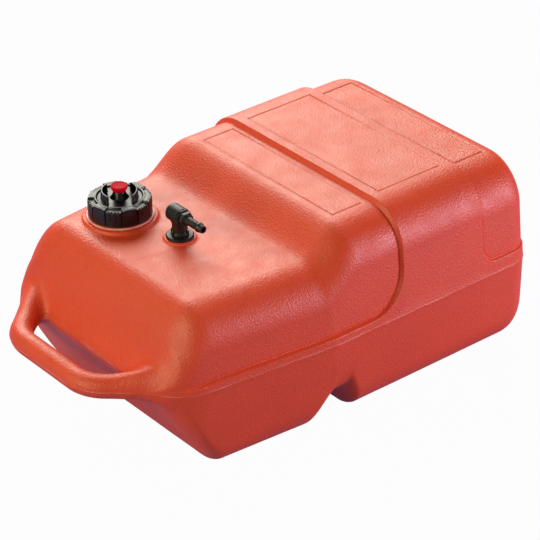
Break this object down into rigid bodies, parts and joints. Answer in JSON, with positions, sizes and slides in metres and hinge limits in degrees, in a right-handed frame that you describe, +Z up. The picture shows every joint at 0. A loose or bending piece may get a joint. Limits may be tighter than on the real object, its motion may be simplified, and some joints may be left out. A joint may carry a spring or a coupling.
{
  "type": "portable marine fuel tank",
  "caption": "Portable blow-moulded fuel tank with a front carrying handle, a vented screw cap and a swivelling fuel pickup with a hose tail.",
  "frame": {"origin": "under the middle of the whole tank, on the plane that it stands on", "axes": "+X from the carrying handle to the plain end, +Z up, +Y towards the side with the filler"},
  "size_m": [0.5166, 0.323, 0.214],
  "materials": {
    "tank_plastic": "blow-moulded polyethylene with a fine leather grain",
    "black_plastic": "moulded black plastic, half gloss",
    "knob_plastic": "moulded red plastic",
    "seal_rubber": "moulded rubber",
    "stem_brass": "turned brass",
    "clip_steel": "stamped spring steel",
    "tube_plastic": "extruded natural polyethylene",
    "screen_plastic": "woven nylon mesh"
  },
  "bodies": {
    "tank": {"tank_body": "tank_plastic", "pickup_bush": "black_plastic", "bush_gasket": "seal_rubber", "pickup_tube": "tube_plastic", "strainer_cage": "black_plastic", "strainer_screen": "screen_plastic"},
    "elbow": {"pickup_elbow": "black_plastic", "elbow_o_ring": "seal_rubber", "elbow_clip": "clip_steel", "hose_tail": "black_plastic", "tail_o_ring": "seal_rubber"},
    "neck_gasket": {"cap_gasket": "seal_rubber"},
    "pressure_plate": {"cap_plate": "black_plastic"},
    "cap": {"cap_shell": "black_plastic"},
    "seal": {"vent_seal": "seal_rubber"},
    "vent": {"vent_knob": "knob_plastic", "vent_stem": "stem_brass", "vent_clip": "clip_steel"}
  },
  "joints": [
    {"name": "cap_lift", "type": "slide", "parent": "tank", "child": "neck_gasket", "axis": [0, 0, 1], "range_m": [0, 0.1]},
    {"name": "cap_rise", "type": "slide", "parent": "neck_gasket", "child": "pressure_plate", "axis": [0, 0, 1], "range_m": [0, 0.01]},
    {"name": "cap_turn", "type": "hinge", "parent": "pressure_plate", "child": "cap", "pos_m": [-0.103, 0.0735, 0.2], "axis": [0, 0, 1], "range_deg": [0, 720]},
    {"name": "vent_rise", "type": "slide", "parent": "cap", "child": "seal", "axis": [0, 0, 1], "range_m": [0, 0.003]},
    {"name": "vent_turn", "type": "hinge", "parent": "seal", "child": "vent", "pos_m": [-0.103, 0.0735, 0.21], "axis": [0, 0, 1], "range_deg": [0, 620]},
    {"name": "elbow_swivel", "type": "hinge", "parent": "tank", "child": "elbow", "pos_m": [-0.083, 0, 0.2], "axis": [0, 0, 1], "continuous": true}
  ],
  "couplings": [
    {"joint": "cap_rise", "follows": "cap_turn", "m_per_rad": 0.000795},
    {"joint": "vent_turn", "follows": "vent_rise", "rad_per_m": 3141.6}
  ]
}
